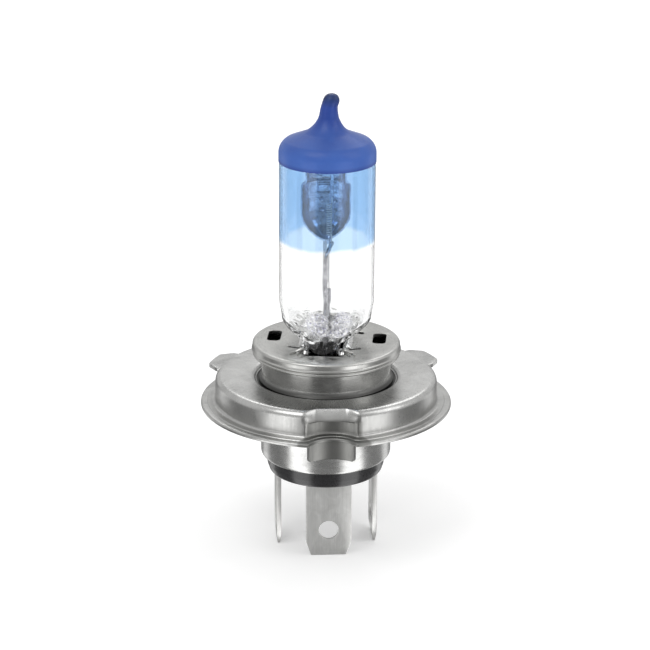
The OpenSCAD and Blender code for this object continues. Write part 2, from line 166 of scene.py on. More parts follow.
def mesh_object(name, verts, faces):
    """A mesh object from millimetre points, with its normals turned outwards."""
    mesh = bpy.data.meshes.new(name)
    mesh.from_pydata([tuple(c * MM for c in v) for v in verts], [], faces)
    bm = bmesh.new()
    bm.from_mesh(mesh)
    bmesh.ops.remove_doubles(bm, verts=bm.verts, dist=1e-7)
    bmesh.ops.recalc_face_normals(bm, faces=bm.faces)
    bm.to_mesh(mesh)
    bm.free()
    mesh.validate()
    obj = bpy.data.objects.new(name, mesh)
    bpy.context.scene.collection.objects.link(obj)
    return obj


def grid_faces(rows, cols, closed_cols=True, closed_rows=False):
    """Quads over a grid of points kept row by row."""
    faces = []
    for i in range(rows if closed_rows else rows - 1):
        for j in range(cols if closed_cols else cols - 1):
            a, b = i * cols + j, i * cols + (j + 1) % cols
            c, d = (i + 1) % rows * cols + (j + 1) % cols, (i + 1) % rows * cols + j
            faces.append((a, b, c, d))
    return faces


def lathe(name, profile, segments=160, warp=None):
    """Turns a profile of (radius, z) about Z. One that starts and ends on the axis closes at its poles,
    and any other is a closed loop. warp moves each point."""
    loop = profile[0][0] > 1e-9 or profile[-1][0] > 1e-9
    verts = []
    for r, z in profile:
        for j in range(segments):
            a = TAU * j / segments
            p = (r * math.cos(a), r * math.sin(a), z)
            verts.append(warp(r, z, a) if warp else p)
    return mesh_object(name, verts, grid_faces(len(profile), segments, closed_rows=loop))


def tube(name, path, radius, sides=16):
    """A closed round wire along a path of points."""
    path = [Vector(p) for p in path]
    verts, normal = [], None
    for i, p in enumerate(path):
        t = (path[min(i + 1, len(path) - 1)] - path[max(i - 1, 0)]).normalized()
        if normal is None:
            normal = t.orthogonal().normalized()
        normal = (normal - normal.dot(t) * t).normalized()
        side = t.cross(normal)
        for k in range(sides):
            a = TAU * k / sides
            verts.append(p + radius * (math.cos(a) * normal + math.sin(a) * side))
    faces = grid_faces(len(path), sides)
    last = (len(path) - 1) * sides
    faces += [tuple(range(sides)), tuple(range(last, last + sides))]
    return mesh_object(name, verts, faces)


def fan(start, sides, tip):
    """Triangles from a ring of points to one point."""
    return [(start + j, start + (j + 1) % sides, tip) for j in range(sides)]


def prism_faces(n):
    """Two caps and the walls between them, over two rings of n points."""
    walls = [(i, (i + 1) % n, n + (i + 1) % n, n + i) for i in range(n)]
    return [tuple(range(n)), tuple(range(n, 2 * n))] + walls


def prism(name, outline, z0, z1):
    """A straight prism over an outline."""
    verts = [(x, y, z1) for x, y in outline] + [(x, y, z0) for x, y in outline]
    return mesh_object(name, verts, prism_faces(len(outline)))


def apply_modifiers(obj):
    """Bakes the object's modifiers into its mesh."""
    graph = bpy.context.evaluated_depsgraph_get()
    mesh = bpy.data.meshes.new_from_object(obj.evaluated_get(graph))
    obj.modifiers.clear()
    old = obj.data
    obj.data = mesh
    bpy.data.meshes.remove(old)


def boolean(obj, tool, operation):
    """Cuts or fuses another closed mesh, which is used up."""
    mod = obj.modifiers.new("bool", "BOOLEAN")
    mod.operation = operation
    mod.solver = "EXACT"
    mod.object = tool
    apply_modifiers(obj)
    bpy.data.objects.remove(tool)


def cut(obj, tool):
    boolean(obj, tool, "DIFFERENCE")


def fuse(obj, tool):
    boolean(obj, tool, "UNION")


def thicken(obj, thickness, offset):
    """Gives an open sheet its thickness."""
    mod = obj.modifiers.new("thick", "SOLIDIFY")
    mod.thickness = thickness * MM
    mod.offset = offset
    apply_modifiers(obj)


def round_edges(obj, width, segments=3, angle=40):
    """Rounds every edge sharper than the angle."""
    mod = obj.modifiers.new("bevel", "BEVEL")
    mod.width = width * MM
    mod.segments = segments
    mod.limit_method = "ANGLE"
    mod.angle_limit = math.radians(angle)
    apply_modifiers(obj)


def join(obj, other):
    """Adds another closed mesh to a piece."""
    bm = bmesh.new()
    bm.from_mesh(obj.data)
    bm.from_mesh(other.data)
    bm.to_mesh(obj.data)
    bm.free()
    bpy.data.objects.remove(other)


def turn(obj, matrix):
    obj.data.transform(matrix)


def shift(x, y, z):
    return Matrix.Translation(Vector((x, y, z)) * MM)


def spin(degrees, axis):
    return Matrix.Rotation(math.radians(degrees), 4, axis)


def make_piece(obj, material, nodes, sharp=35):
    """Smooth shading with sharp edges kept, a material, and the piece's place in the frame."""
    obj.data.materials.clear()
    obj.data.materials.append(material)
    obj.data.shade_smooth()
    obj.data.set_sharp_from_angle(angle=math.radians(sharp))
    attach(obj, "root")
    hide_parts(*nodes)
    return obj


# -------------------- materials


class Paint:
    """Builds one node material around a Principled shader."""

    def __init__(self, name, **sockets):
        self.material = bpy.data.materials.new(name)
        self.material.use_nodes = True
        self.tree = self.material.node_tree
        self.tree.nodes.clear()
        self.shader = self.node("ShaderNodeBsdfPrincipled")
        output = self.node("ShaderNodeOutputMaterial")
        self.link(self.shader.outputs[0], output.inputs["Surface"])
        for key, value in sockets.items():
            self.shader.inputs[key.replace("_", " ").title().replace("Ior", "IOR")].default_value = value
        self.place = self.node("ShaderNodeTexCoord").outputs["Object"]

    def node(self, kind, numbers=None, **settings):
        made = self.tree.nodes.new(kind)
        for key, value in settings.items():
            setattr(made, key, value)
        for key, value in (numbers or {}).items():
            made.inputs[key].default_value = value
        return made

    def link(self, source, target):
        self.tree.links.new(source, target)
        return source

    def math(self, operation, a, b=0.0):
        made = self.node("ShaderNodeMath", operation=operation)
        for socket, value in zip(made.inputs, (a, b)):
            if isinstance(value, (int, float)):
                socket.default_value = value
            else:
                self.link(value, socket)
        return made.outputs[0]

    def xyz(self):
        split = self.node("ShaderNodeSeparateXYZ")
        self.link(self.place, split.inputs[0])
        return split.outputs

    def scaled(self, x, y, z):
        """Object place multiplied by x, y, z per millimetre."""
        mapping = self.node("ShaderNodeMapping", {"Scale": (x / MM, y / MM, z / MM)})
        self.link(self.place, mapping.inputs["Vector"])
        return mapping.outputs[0]

    def around(self, per_mm_round, per_mm_out, per_mm_up, radius=19.0):
        """Place on a turned part: along the girth, outwards and upwards."""
        x, y, z = self.xyz()
        girth = self.math("MULTIPLY", self.math("ARCTAN2", y, x), radius * per_mm_round)
        out = self.math("MULTIPLY", self.hypot(x, y), per_mm_out / MM)
        up = self.math("MULTIPLY", z, per_mm_up / MM)
        made = self.node("ShaderNodeCombineXYZ")
        for source, target in zip((girth, out, up), made.inputs):
            self.link(source, target)
        return made.outputs[0]

    def hypot(self, a, b):
        squares = self.math("MULTIPLY", a, a), self.math("MULTIPLY", b, b)
        return self.math("SQRT", self.math("ADD", *squares))

    def noise(self, vector, detail=4.0, roughness=0.6, distortion=0.0):
        made = self.node("ShaderNodeTexNoise", {"Scale": 1.0, "Detail": detail, "Roughness": roughness,
                                                "Distortion": distortion})
        self.link(vector, made.inputs["Vector"])
        return made.outputs[0]

    def span(self, value, low, high, to_low=0.0, to_high=1.0):
        """Maps low..high onto to_low..to_high, and holds the ends."""
        made = self.node("ShaderNodeMapRange", {"From Min": low, "From Max": high, "To Min": to_low,
                                                "To Max": to_high}, clamp=True)
        self.link(value, made.inputs["Value"])
        return made.outputs[0]

    def ramp(self, value, stops):
        made = self.node("ShaderNodeValToRGB")
        elements = made.color_ramp.elements
        while len(elements) < len(stops):
            elements.new(0.5)
        for element, (place, color) in zip(elements, stops):
            element.position = place
            element.color = (*color, 1.0)
        self.link(value, made.inputs[0])
        return made.outputs[0]

    def mix(self, factor, a, b):
        made = self.node("ShaderNodeMix", data_type="RGBA")
        self.link(factor, made.inputs["Factor"])
        for socket, value in zip((made.inputs[6], made.inputs[7]), (a, b)):
            if isinstance(value, tuple):
                socket.default_value = (*value, 1.0)
            else:
                self.link(value, socket)
        return made.outputs[2]

    def bump(self, *layers):
        """Each layer is (height, depth in millimetres, strength)."""
        below = None
        for height, depth, strength in layers:
            made = self.node("ShaderNodeBump", {"Strength": strength, "Distance": depth * MM})
            self.link(height, made.inputs["Height"])
            if below is not None:
                self.link(below, made.inputs["Normal"])
            below = made.outputs[0]
        self.link(below, self.shader.inputs["Normal"])

    def set(self, socket, value):
        self.link(value, self.shader.inputs[socket])


def quartz():
    """Clear drawn quartz: faint ripples along the tube, and a milky crackled seal in the pinch."""
    p = Paint("quartz", transmission_weight=1.0, ior=1.46, roughness=0.0, coat_weight=0.7, coat_roughness=0.0)
    streak = p.noise(p.around(0.5, 0.0, 0.02, TUBE_R), 3.0)
    clear = p.ramp(streak, [(0.3, (0.975, 0.985, 0.985)), (0.7, (1.0, 1.0, 1.0))])
    x, y, z = p.xyz()
    # Two milky lobes beside the lead, on a low foot
    across = p.math("ABSOLUTE", x)
    aside = p.math("DIVIDE", p.math("SUBTRACT", across, 2.0 * MM), 2.1 * MM)
    above = p.math("DIVIDE", p.math("SUBTRACT", z, 11.4 * MM), 2.5 * MM)
    away = p.math("ADD", p.math("MULTIPLY", aside, aside), p.math("MULTIPLY", above, above))
    lobes = p.span(away, 1.0, 0.5)
    foot = p.math("MULTIPLY", p.span(z, 9.0 * MM, 9.5 * MM), p.span(z, 11.0 * MM, 10.0 * MM))
    foot = p.math("MULTIPLY", foot, p.span(across, 2.6 * MM, 4.0 * MM, 1.0, 0.0))
    sealed = p.math("MAXIMUM", lobes, foot)
    sealed = p.math("MULTIPLY", sealed, p.span(y, -1.0 * MM, 1.5 * MM, 1.0, 0.0))
    crackle = p.noise(p.scaled(1.3, 1.3, 1.8), 6.0, 0.7, distortion=1.2)
    milk = p.math("MULTIPLY", sealed, p.span(crackle, 0.42, 0.56))
    tint = p.ramp(p.noise(p.scaled(3.0, 3.0, 3.0), 3.0),
                  [(0.38, (0.16, 0.16, 0.26)), (0.46, (0.80, 0.80, 0.94)), (0.56, (1.0, 1.0, 1.0))])
    p.set("Base Color", p.mix(milk, clear, tint))
    p.set("Transmission Weight", p.math("SUBTRACT", 1.0, p.math("MULTIPLY", milk, 0.85)))
    p.bump((streak, 0.02, 0.35))
    return p.material


def tip_paint():
    """Baked blue coating: satin, darker where it pools on the tip and along the lower rim."""
    p = Paint("tip_paint", roughness=0.42, coat_weight=0.12, coat_roughness=0.2, specular_ior_level=0.3)
    up = p.xyz()[2]
    body = p.ramp(p.span(up, 39.5 * MM, 49.2 * MM),
                  [(0.0, (0.040, 0.112, 0.42)), (0.25, (0.028, 0.080, 0.33)), (0.5, (0.018, 0.056, 0.29)),
                   (0.78, (0.010, 0.040, 0.27)), (0.93, (0.002, 0.008, 0.06))])
    mottle = p.noise(p.scaled(0.35, 0.35, 0.25), 4.0)
    tone = p.mix(p.span(mottle, 0.35, 0.7, 0.0, 0.22), body, (0.06, 0.16, 0.50))
    rim = p.span(up, (COAT_LOW.z + 0.1) * MM, (COAT_LOW.z + 0.75) * MM, 0.75, 0.0)
    p.set("Base Color", p.mix(rim, tone, (0.02, 0.045, 0.26)))
    p.set("Roughness", p.span(p.noise(p.scaled(2.5, 2.5, 2.5), 4.0), 0.3, 0.7, 0.36, 0.5))
    p.bump((p.noise(p.scaled(6, 6, 6), 6.0), 0.02, 0.25))
    return p.material


def filter_paint():
    """Thin interference film: sky blue, fading out over its lowest millimetre."""
    p = Paint("filter_film", transmission_weight=1.0, ior=1.02, roughness=0.0,
              coat_weight=1.0, coat_roughness=0.0, coat_ior=1.5)
    up = p.xyz()[2]
    wander = p.span(p.noise(p.around(0.15, 0.0, 0.0, TUBE_R), 2.0), 0.3, 0.7, -0.25 * MM, 0.25 * MM)
    level = p.math("ADD", up, wander)
    fade = p.span(level, (FILM_LOW.z + 0.15) * MM, (FILM_LOW.z + 0.85) * MM)
    cloud = p.noise(p.around(0.25, 0.0, 0.08, TUBE_R), 3.0)
    blue = p.ramp(cloud, [(0.3, (0.50, 0.69, 0.90)), (0.7, (0.56, 0.74, 0.935))])
    p.set("Base Color", p.mix(fade, (0.97, 0.98, 1.0), blue))
    return p.material


def tungsten():
    """Drawn grey filament wire."""
    p = Paint("tungsten_wire", metallic=1.0, roughness=0.42)
    grain = p.noise(p.scaled(9, 9, 3), 5.0)
    p.set("Base Color", p.ramp(grain, [(0.3, (0.45, 0.45, 0.46)), (0.7, (0.85, 0.85, 0.86))]))
    p.set("Roughness", p.span(grain, 0.3, 0.7, 0.3, 0.5))
    p.bump((p.noise(p.scaled(20, 20, 4), 3.0), 0.01, 0.3))
    return p.material


# The default sheet tones are tinted blue: painted blue light, as inside the filter film.
def molybdenum(name="molybdenum_sheet_painted_blue_light", dark=(0.10, 0.14, 0.26), light=(0.60, 0.68, 0.84)):
    """Rolled sheet or drawn wire, with soft dark and light clouds in its base colour that are painted
    reflections.
    """
    p = Paint(name, metallic=1.0, roughness=0.22)
    draw = p.noise(p.scaled(5, 5, 0.5), 5.0)
    cloud = p.noise(p.scaled(0.5, 0.5, 0.7), 3.0, distortion=0.6)
    # Dark and light clouds in the base colour: painted reflections.
    tone = p.ramp(cloud, [(0.35, dark), (0.65, light)])
    p.set("Base Color", p.mix(p.span(draw, 0.35, 0.65, 0.0, 0.25), tone, (0.85, 0.86, 0.9)))
    p.set("Roughness", p.span(draw, 0.3, 0.7, 0.08, 0.2))
    p.bump((draw, 0.006, 0.25), (p.noise(p.scaled(0.8, 0.8, 0.4), 2.0), 0.05, 0.3))
    return p.material


def plated_steel(name, base, grain, grain_depth, rough, wear, shade=None):
    """Satin nickel-plated sheet. grain is the noise density round, out and up, and shade gives a mask of
    painted shade, where the metal is also rougher, with its colour."""
    p = Paint(name, metallic=1.0)
    lines = p.noise(p.around(*grain), 6.0, 0.7)
    cloud = p.noise(p.scaled(0.16, 0.16, 0.22), 4.0, distortion=0.8)
    fine = p.noise(p.scaled(7, 7, 7), 3.0)
    light = tuple(min(1.0, c * 1.16) for c in base)
    dark = tuple(c * 0.80 for c in base)
    tone = p.ramp(cloud, [(0.32, dark), (0.5, base), (0.68, light)])
    tone = p.mix(p.span(lines, 0.35, 0.7, 0.0, wear), tone, tuple(c * 0.68 for c in base))
    gloss = p.math("ADD", p.span(lines, 0.3, 0.7, *rough), p.span(fine, 0.35, 0.65, -0.03, 0.05))
    # The mask mixes painted shade into the tone.
    if shade:
        mask, dark = shade(p)
        tone = p.mix(mask, tone, dark)
        gloss = p.math("ADD", gloss, p.math("MULTIPLY", mask, 0.18))
    p.set("Base Color", tone)
    p.set("Roughness", gloss)
    p.bump((lines, grain_depth, 0.5), (fine, 0.004, 0.3))
    return p.material


def key_painted_shade_and_dull_wall(p):
    """Painted shade in the deep-drawn hollow of the key below its lip, and the ring's wall a little darker
    and rougher than its plate.
    """
    x, y, z = p.xyz()
    along = p.math("ADD", y, KEY_C * MM)
    away = p.hypot(x, along)
    # Painted shade in the key's hollow, colour (0.20, 0.20, 0.19).
    hollow = p.span(away, (KEY_ROUND + 0.15) * MM, (KEY_ROUND + 0.75) * MM, 0.85, 0.0)
    below = p.span(z, -1.9 * MM, -1.2 * MM, 1.0, 0.0)
    wall = p.span(z, -1.3 * MM, -0.3 * MM, 0.22, 0.0)
    return p.math("MAXIMUM", p.math("MULTIPLY", hollow, below), wall), (0.20, 0.20, 0.19)


def groove_painted_shadow(p):
    """Painted shadow on the shell's flange, in the narrow groove round the foot of the neck."""
    x, y, z = p.xyz()
    near = p.span(p.hypot(x, y), 12.2 * MM, 13.4 * MM, 0.95, 0.0)
    # Near-black colour of the painted shadow.
    return p.math("MULTIPLY", near, p.span(z, -1.6 * MM, -1.2 * MM)), (0.03, 0.03, 0.028)


def foot_painted_shadow(p):
    """Painted shadow on the neck, darkest where it stands on the shell."""
    z = p.xyz()[2]
    # Near-black colour of the painted shadow at the foot.
    return p.span(z, -0.1 * MM, 0.5 * MM, 0.9, 0.0), (0.05, 0.05, 0.048)


def spring_metal():
    """Bright spring strip with fine scratches."""
    p = Paint("spring_metal", metallic=1.0)
    scratch = p.noise(p.scaled(4, 1, 9), 5.0)
    p.set("Base Color", p.ramp(scratch, [(0.3, (0.48, 0.48, 0.48)), (0.7, (0.80, 0.80, 0.79))]))
    p.set("Roughness", p.span(scratch, 0.3, 0.7, 0.12, 0.26))
    p.bump((scratch, 0.008, 0.3))
    return p.material


def black_plastic():
    """Black moulded insulator, lightly speckled."""
    p = Paint("black_insulator", ior=1.5, coat_weight=0.4, coat_roughness=0.12)
    speck = p.noise(p.scaled(3.5, 3.5, 3.5), 6.0, 0.7)
    p.set("Base Color", p.ramp(speck, [(0.35, (0.006, 0.006, 0.007)), (0.75, (0.024, 0.024, 0.026))]))
    p.set("Roughness", p.span(speck, 0.3, 0.7, 0.2, 0.42))
    p.bump((speck, 0.01, 0.3), (p.noise(p.around(0.1, 0.2, 3.0, PLUG_R), 2.0), 0.01, 0.3))
    return p.material


def tinned():
    """Matte tin plate with rolling marks along the blade and a few pale rubbed patches."""
    p = Paint("tinned_blade", metallic=0.6)
    roll = p.noise(p.scaled(4.5, 4.5, 0.25), 6.0, 0.7)
    patch = p.noise(p.scaled(0.45, 0.45, 0.3), 4.0, distortion=1.0)
    tone = p.ramp(patch, [(0.32, (0.60, 0.60, 0.585)), (0.55, (0.67, 0.67, 0.655)),
                          (0.72, (0.76, 0.76, 0.745))])
    p.set("Base Color", p.mix(p.span(roll, 0.4, 0.7, 0.0, 0.3), tone, (0.44, 0.44, 0.43)))
    p.set("Roughness", p.span(roll, 0.3, 0.7, 0.34, 0.5))
    p.bump((roll, 0.008, 0.5), (p.noise(p.scaled(9, 9, 9), 3.0), 0.004, 0.3))
    return p.material


# -------------------- glass, coatings


def neck_width(z, g):
    """Half thickness of the pressed foot at height z, at a distance g outside the glass."""
    flat = PINCH_X + g
    slope = max(0.0, z - (7.7 - 0.35 * g)) * 2.15
    return flat + slope * smooth(7.45, 8.25, z)


def tube_radius(z, g):
    """The tube draws in slightly above the pinch, and the pinch edges stand a little further in."""
    drawn = TUBE_R + g - 0.42 * smooth(13.6, HEEL_Z, z)
    return lerp(drawn, PINCH_Y + g, smooth(8.6, 5.4, z))


def press_marks(x, y, z, seed):
    """Uneven glass that the pinch jaws leave: broad dents and fine waves, strongest at the seal."""
    here = smooth(11.2, 9.2, z) * smooth(0.5, 3.5, z) * smooth(6.6, 4.2, abs(x))
    broad = noise.noise(Vector((x * 0.55, y * 0.4, z * 0.5 + seed)))
    fine = noise.noise(Vector((x * 1.3 + seed, y * 0.9, z * 1.5)))
    return here * (PRESS_BROAD * broad + PRESS_FINE * fine)


def seal_turned(x, y):
    """The pinch and the parts that grip it stand turned a little from the key."""
    c, s = math.cos(SEAL_TURN), math.sin(SEAL_TURN)
    return (x * c + y * s, y * c - x * s)


def tube_point(z, angle, g):
    """Point on the pressed tube: a circle flattened across X, then turned."""
    r = tube_radius(z, g)
    x, y = r * math.cos(angle), r * math.sin(angle)
    limit = neck_width(z, g)
    if limit < r + 1.2:
        x = math.copysign(soft_min(abs(x), limit, 1.1), x)
    push = 1 + press_marks(x, y, z, 3.0 + 7.0 * (g < 0)) / max(2.0, math.hypot(x, y))
    return (*seal_turned(x * push, y * push), z)


# Height, offset towards +X and radius of the drawn-off tip above the sweep
TIP_SECTIONS = [(45.0, 0.16, 1.62), (45.5, 0.18, 1.49), (46.0, 0.19, 1.40),
                (46.5, 0.21, 1.33), (47.0, 0.27, 1.27), (47.5, 0.43, 1.28), (48.05, 0.57, 1.25),
                (48.6, 0.62, 1.06), (48.98, 0.64, 0.7), (49.14, 0.65, 0.3)]


def dome_rings(g):
    """Rings (z, offset, radius) over the shoulder, the sweep and the tip."""
    shoulder = arc((TUBE_R - SHOULDER_R, DOME_Z), SHOULDER_R + g, 0, SHOULDER_A, 12)
    sweep = arc(SWEEP_C, SWEEP_R - g, 180 + SHOULDER_A, 206, 10)
    rings = [(z, TIP_SECTIONS[0][1] * smooth(42.6, 45.0, z), r) for r, z in shoulder + sweep]
    tip = spline([(z, off, r + g) for z, off, r in TIP_SECTIONS], 4)
    return rings + [tuple(p) for p in tip]


def ring_points(z, off, r):
    angles = [TAU * j / GLASS_SIDES - SEAL_TURN for j in range(GLASS_SIDES)]
    return [(off + r * math.cos(a), r * math.sin(a), z) for a in angles]


def glass_skin(name, g, z0, rings, low, high):
    """One closed skin of the envelope, g outside the bare glass: the pressed tube from z0, then rings
    over the dome, with fans to the points low and high. Its levels are close where glass is pressed."""
    levels = [z0]
    while levels[-1] < DOME_Z - 0.01:
        levels.append(levels[-1] + (0.16 if levels[-1] < FINE_TOP else 1.2))
    verts = [tube_point(z, TAU * j / GLASS_SIDES, g) for z in levels[:-1] for j in range(GLASS_SIDES)]
    for ring in rings:
        verts += ring_points(*ring)
    rows = len(verts) // GLASS_SIDES
    faces = grid_faces(rows, GLASS_SIDES) + fan(0, GLASS_SIDES, len(verts))
    faces += fan((rows - 1) * GLASS_SIDES, GLASS_SIDES, len(verts) + 1)
    return mesh_object(name, verts + [low, high], faces)


def glass_tube(material):
    """The envelope: an outer skin with its drawn-off tip, and the sealed hollow a wall further in."""
    rings = dome_rings(0.0)
    top, off, _ = rings[-1]
    obj = glass_skin("glass_tube", 0.0, GLASS_LOW.z, rings, (0, 0, GLASS_LOW.z), (off, 0, top + 0.03))
    roof = arc((TUBE_R - SHOULDER_R, DOME_Z), SHOULDER_R - WALL, 0, SHOULDER_A, 10)
    roof += arc(SWEEP_C, SWEEP_R + WALL, 180 + SHOULDER_A, 213, 8)
    rings = [(z, 0.0, r) for r, z in roof]
    hollow = glass_skin("hollow", -WALL, 8.2, rings, (0, 0, 8.05), (0, 0, roof[-1][1] + 0.4))
    hollow.data.flip_normals()
    join(obj, hollow)
    return make_piece(obj, material, ["glass_envelope"], sharp=60)


def coating_shell(name, gap, thickness, z0):
    """A closed skin over the dome and tip, from z0 up, rolled over at its lower edge."""
    middle, high = lerp(z0, DOME_Z, 0.5), DOME_Z - 0.2
    rim = [(z0, 0.3), (z0, 0.7), (z0 + 0.05, 0.93), (z0 + 0.12, 1.0), (middle, 1.0), (high, 1.0)]
    outer = [(z, 0.0, TUBE_R + gap + share * thickness) for z, share in rim]
    inner = [(z, 0.0, TUBE_R + gap) for z in (z0 + 0.03, middle, high)]
    verts, faces = [], []
    for rings, lift in ((outer + dome_rings(gap + thickness), 0.04), (inner + dome_rings(gap), 0.035)):
        base = len(verts)
        for ring in rings:
            verts += ring_points(*ring)
        faces += [tuple(base + i for i in f) for f in grid_faces(len(rings), GLASS_SIDES)]
        faces += fan(len(verts) - GLASS_SIDES, GLASS_SIDES, len(verts))
        top, off, _ = rings[-1]
        verts.append((off, 0, top + lift))
    faces += [(j, (j + 1) % GLASS_SIDES, base + (j + 1) % GLASS_SIDES, base + j) for j in range(GLASS_SIDES)]
    return mesh_object(name, verts, faces)


def tip_coat(material):
    obj = coating_shell("tip_coat", SKIN_GAP, COAT_R - TUBE_R - SKIN_GAP, COAT_LOW.z)
    return make_piece(obj, material, ["tip_coating"], sharp=60)


def filter_film(material):
    inner, outer = TUBE_R + SKIN_GAP, FILM_HIGH.x
    top = FILM_HIGH.z - 0.01
    profile = line((outer, FILM_LOW.z), (outer, top), 6) + [(outer, top)]
    profile += line((inner, top), (inner, FILM_LOW.z), 6) + [(inner, FILM_LOW.z)]
    obj = lathe("filter_film", profile, GLASS_SIDES)
    return make_piece(obj, material, ["filter_coating"], sharp=60)


# -------------------- filaments, shield, leads


def coil(name, centre, z0, length, turns, radius, wire, material, node):
    """A wound filament with straight legs at both ends."""
    steps = 20
    total = turns * steps
    x, y = centre
    path = [(x + radius, y, z0 - 1.2), (x + radius, y, z0 - 0.25)]
    for i in range(total + 1):
        a = TAU * i / steps
        path.append((x + radius * math.cos(a), y + radius * math.sin(a), z0 + length * i / total))
    path += [(x + radius, y, z0 + length + 0.25), (x + radius, y, z0 + length + 1.2)]
    obj = tube(name, path, wire / 2, 8)
    return make_piece(obj, material, [node], sharp=80)


def shield_cup(material):
    """Pressed half cup open towards -Y, with a pointed nose, a stepped hood and welded studs."""
    wide, hood, deep, middle = 4.25, 3.45, 3.55, -0.17
    low_z, nose, cup_z, step_z, top_z = 23.7, 5.2, 33.2, 34.1, 36.35
    angles = [math.radians(7 + 83 * i / 16) for i in range(17)]
    rows = [(low_z + nose * (1 - math.cos(a)), math.sin(a) ** 1.5) for a in angles]
    rows += [(lerp(low_z + nose, cup_z, k / 6), 1.0) for k in range(1, 7)]
    rows += [(33.6, 0.975), (33.9, 0.9), (step_z, hood / wide + 0.02), (34.4, hood / wide)]
    rows += [(lerp(34.4, top_z, k / 5), hood / wide) for k in range(1, 6)]
    cols = 49
    verts = []
    for z, s in rows:
        for j in range(cols):
            t = math.pi * j / (cols - 1)
            verts.append((middle + wide * s * math.cos(t), deep * s * math.sin(t) ** 0.8 + 0.35, z))
    obj = mesh_object("shield_cup", verts, grid_faces(len(rows), cols, closed_cols=False))
    thicken(obj, 0.28, -1.0)
    tab = prism("tab", [(-1.5, -1.6), (2.2, -1.6), (2.2, 3.0), (-1.5, 3.0)], 35.9, 36.2)
    roof = prism("roof", arc((middle, 0.4), 3.4, 0, 180, 24), 36.05, 36.3)
    hanger = tube("hanger", [(0.72, -0.9, 31.85), (0.72, -0.9, 33.5), (0.72, -0.9, 35.95)], 0.3)
    arm = tube("arm", [(0.46, 1.0, 23.1), (0.46, 1.0, 23.8), (0.46, 1.0, 24.6)], 0.4)
    patch = prism("patch", rounded_box(0.25, 3.45, 3.3, 0.5, 0.2), 31.6, 32.7)
    ribs = [tube("rib", [(-1.4, 3.3, z), (0.2, 3.35, z), (1.9, 3.3, z)], 0.16, 10)
            for z in (31.35, 33.0, 33.4)]
    studs = [stud(x, 3.3, z, 0.4) for x, z in ((-0.65, 30.16), (1.55, 29.83), (-0.47, 28.4), (1.56, 28.24))]
    studs += [stud(x, 2.9, z, 0.34) for x, z in ((-2.1, 27.0), (1.75, 27.1))]
    for tool in [tab, roof, hanger, arm, patch] + ribs + studs:
        join(obj, tool)
    return make_piece(obj, material, ["dip_shield"], sharp=50)


def stud(x, y, z, radius):
    """Small weld stud, shaped like a ball."""
    ball = lathe("stud", arc((0, 0), radius, 90, -90, 10), 20)
    turn(ball, shift(x, y, z))
    return ball


# Each inner lead: its place along the pinch, then the points that it passes above the seal
LEAD_PATHS = {
    "inner_lead_common": (4.4, [(0, 4.75, 13), (0, 4.75, 20), (0, 4.75, 26), (0, 4.7, 32.2)]),
    "inner_lead_dip": (-4.4, [(-0.35, -2.7, 13.6), (-0.4, -2.6, 17.5), (-0.35, -2.5, 21.4), (0.3, -1.3, 22.9),
                              (0.72, -0.9, 23.6), (0.72, -0.9, 23.9)]),
    "inner_lead_main": (0.0, [(0.45, 0.95, 13.2), (0.46, 1.0, 14.4), (0.46, 1.0, 15.1)]),
}
LEAD_R = 0.36


def inner_leads(material):
    """Wires from the foils in the seal up to the filaments."""
    for node, (along, upper) in LEAD_PATHS.items():
        points = [(*seal_turned(0, along), z) for z in (3.4, 7.0, 10.2)] + upper
        obj = tube("wire_" + node[11:], spline(points, 8), LEAD_R, 18)
        round_edges(obj, 0.06, 2)
        make_piece(obj, material, [node], sharp=50)


# -------------------- holder and retainer


def rounded_box(cx, cy, w, h, r, n=5):
    """Outline of a rectangle with round corners."""
    corners = ((cx + w / 2 - r, cy + h / 2 - r, 0), (cx - w / 2 + r, cy + h / 2 - r, 90),
               (cx - w / 2 + r, cy - h / 2 + r, 180), (cx + w / 2 - r, cy - h / 2 + r, 270))
    return [p for x, y, a in corners for p in arc((x, y), r, a, a + 90, n)]


def retainer(material):
    """Crimped disc with a slot for the pinch, two vents and slits beside its gripping tabs."""
    top, hem = DISC_HIGH.z, DISC_LOW.z
    t = THIN
    foot = top - 1.6
    side = DISC_R - 0.14
    profile = [(0, top)] + line((0.5, top), (side - 0.55, top), 6)
    profile += arc((side - 0.5, top - 0.5), 0.5, 90, 0, 6)
    profile += [(side, foot + 0.75), (side + 0.01, foot + 0.62)]
    profile += arc((DISC_R - 0.28, foot + 0.28), 0.28, 50, -70, 7)
    profile += [(side - 0.24, foot - 0.06)]
    profile += arc((side - 0.36, lerp(foot, hem, 0.55)), 0.32, 62, -90, 8)
    inside = DISC_R - t - 0.05
    profile += [(inside, hem + 0.04), (inside, foot + 0.3), (inside - 0.02, top - t - 0.2)]
    profile += [(inside - 0.25, top - t), (0, top - t)]
    obj = lathe("retainer", profile, 192)
    cut(obj, prism("slot", rounded_box(0, 0, 7.4, 16.6, 1.5), top - 3, top + 2))
    for x in (-9.0, 9.0):
        cut(obj, prism("vent", rounded_box(x, 1.5, 2.3, 5.2, 0.8), top - 3, top + 2))
    for sx, sy in CORNERS:
        slit = prism("slit", rounded_box(0, 0, 2.9, 0.65 + 0.45 * (sy > 0), 0.3), top - 3, top + 2)
        turn(slit, shift(sx * 4.85, sy * 4.3, 0) @ spin(-sx * sy * 17, "Z"))
        cut(obj, slit)
    round_edges(obj, 0.09, 3)
    for sx, sy in CORNERS:
        join(obj, grip_tab(sx, sy, top))
    turn(obj, spin(-math.degrees(SEAL_TURN), "Z"))
    return make_piece(obj, material, ["retainer_disc"])


